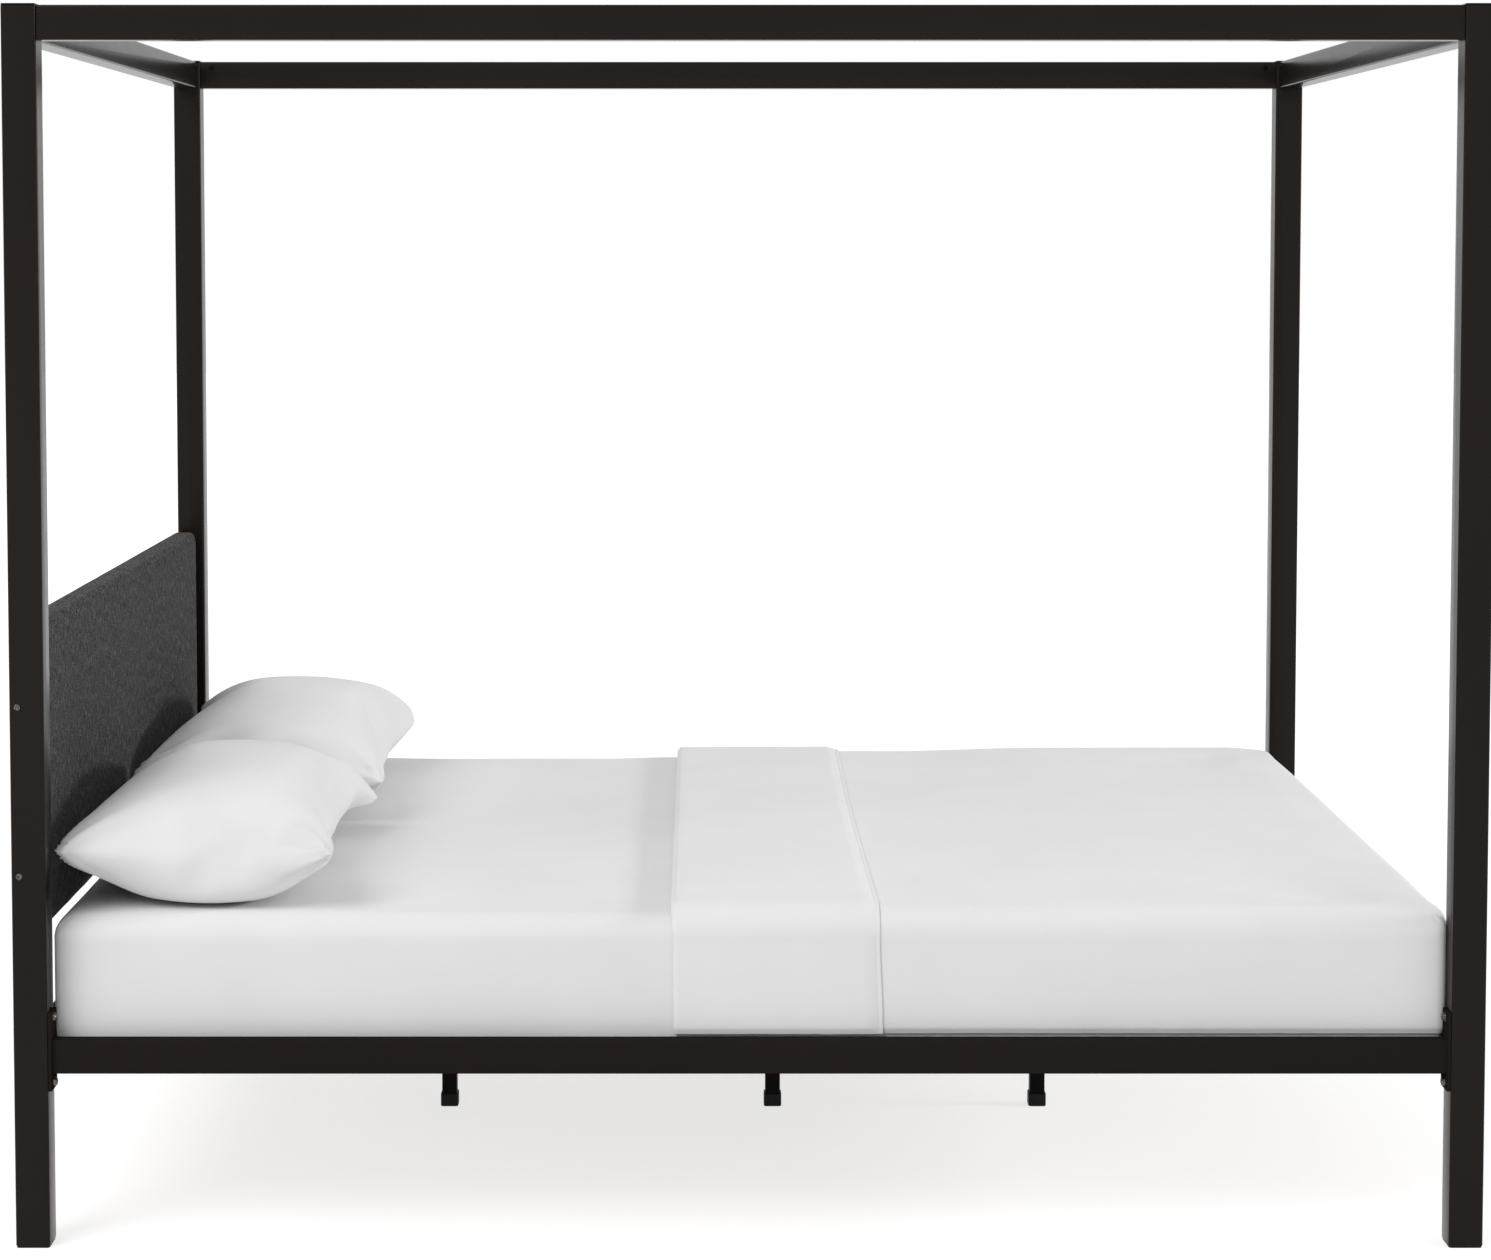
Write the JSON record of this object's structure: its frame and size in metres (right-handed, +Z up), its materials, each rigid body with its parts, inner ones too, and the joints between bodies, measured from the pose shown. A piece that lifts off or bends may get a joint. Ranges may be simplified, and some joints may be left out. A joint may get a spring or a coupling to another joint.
{
  "type": "four poster canopy bed",
  "caption": "Four poster canopy bed: dark square tube frame with an open canopy, charcoal upholstered headboard, slatted base, and a mattress with white sheet, turned back duvet and pillows.",
  "frame": {"origin": "on the floor under the middle of the bed, at the bottom centre of its bounding box", "axes": "+X from the head end to the foot end, +Y to the left of a person lying in the bed, +Z up"},
  "size_m": [2.14, 1.6066, 1.805],
  "materials": {
    "coated_steel": "satin dark brown powder coat",
    "black_plastic": "fine matt moulded plastic",
    "bolt_steel": "black zinc plated, satin",
    "slat_wood": "planed, bare",
    "board": "plywood under a black lining cloth",
    "headboard_fabric": "heathered charcoal weave",
    "sheet": "white cotton, smooth weave",
    "duvet_cotton": "white cotton, smooth weave",
    "pillow_cotton": "white cotton, smooth weave"
  },
  "bodies": {
    "bed_frame": {"post_head_right": "coated_steel", "post_cap_head_right": "black_plastic", "post_glide_head_right": "black_plastic", "post_head_left": "coated_steel", "post_cap_head_left": "black_plastic", "post_glide_head_left": "black_plastic", "post_foot_right": "coated_steel", "post_cap_foot_right": "black_plastic", "post_glide_foot_right": "black_plastic", "post_foot_left": "coated_steel", "post_cap_foot_left": "black_plastic", "post_glide_foot_left": "black_plastic", "canopy_rail_right": "coated_steel", "canopy_rail_left": "coated_steel", "canopy_rail_foot": "coated_steel", "canopy_rail_head": "coated_steel", "side_rail_right": "coated_steel", "rail_angle_right": "coated_steel", "side_rail_left": "coated_steel", "rail_angle_left": "coated_steel", "cross_rail_foot": "coated_steel", "cross_rail_head": "coated_steel", "rail_bolt_head_right_lower": "bolt_steel", "rail_bolt_head_right_upper": "bolt_steel", "rail_bolt_head_left_lower": "bolt_steel", "rail_bolt_head_left_upper": "bolt_steel", "rail_bolt_foot_right_lower": "bolt_steel", "rail_bolt_foot_right_upper": "bolt_steel", "rail_bolt_foot_left_lower": "bolt_steel", "rail_bolt_foot_left_upper": "bolt_steel", "centre_rail": "coated_steel", "centre_leg_1": "coated_steel", "centre_leg_foot_1": "black_plastic", "centre_leg_2": "coated_steel", "centre_leg_foot_2": "black_plastic", "centre_leg_3": "coated_steel", "centre_leg_foot_3": "black_plastic", "slat_01": "slat_wood", "slat_02": "slat_wood", "slat_03": "slat_wood", "slat_04": "slat_wood", "slat_05": "slat_wood", "slat_06": "slat_wood", "slat_07": "slat_wood", "slat_08": "slat_wood", "slat_09": "slat_wood", "slat_10": "slat_wood", "slat_11": "slat_wood", "slat_12": "slat_wood", "headboard_board": "board", "headboard_pad": "headboard_fabric", "headboard_bolt_right_lower": "bolt_steel", "headboard_bolt_right_upper": "bolt_steel", "headboard_bolt_left_lower": "bolt_steel", "headboard_bolt_left_upper": "bolt_steel"},
    "mattress_body": {"mattress": "sheet"},
    "duvet_body": {"duvet": "duvet_cotton"},
    "pillow_right_body": {"pillow_right": "pillow_cotton"},
    "pillow_left_body": {"pillow_left": "pillow_cotton"}
  },
  "joints": [
    {"name": "mattress_lift", "type": "slide", "parent": "bed_frame", "child": "mattress_body", "axis": [0, 0, 1], "range_m": [0, 0.3]},
    {"name": "duvet_lift", "type": "slide", "parent": "mattress_body", "child": "duvet_body", "axis": [0, 0, 1], "range_m": [0, 0.25]},
    {"name": "pillow_right_lift", "type": "slide", "parent": "mattress_body", "child": "pillow_right_body", "axis": [0, 0, 1], "range_m": [0, 0.25]},
    {"name": "pillow_left_lift", "type": "slide", "parent": "mattress_body", "child": "pillow_left_body", "axis": [0, 0, 1], "range_m": [0, 0.25]}
  ]
}
